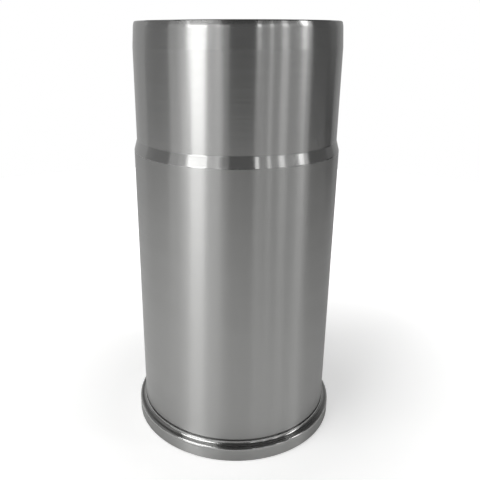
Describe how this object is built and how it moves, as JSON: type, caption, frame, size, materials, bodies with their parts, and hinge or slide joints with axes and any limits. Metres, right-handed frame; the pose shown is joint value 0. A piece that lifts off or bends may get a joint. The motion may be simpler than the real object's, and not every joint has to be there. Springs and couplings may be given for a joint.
{
  "type": "cylinder liner",
  "caption": "Wet cylinder liner: a plain machined iron tube with a seat flange, a relief groove, a conical step to a smaller ground pilot and a honed through bore.",
  "frame": {"origin": "centre of the flange's flat face, which the liner stands on", "axes": "+Z along the bore's axis, from the flange to the far end; X and Y are alike, because the liner is a body of revolution"},
  "size_m": [0.156, 0.156, 0.3],
  "materials": {
    "machined_iron": "turned and ground"
  },
  "bodies": {
    "root": {"liner": "machined_iron"}
  },
  "joints": []
}
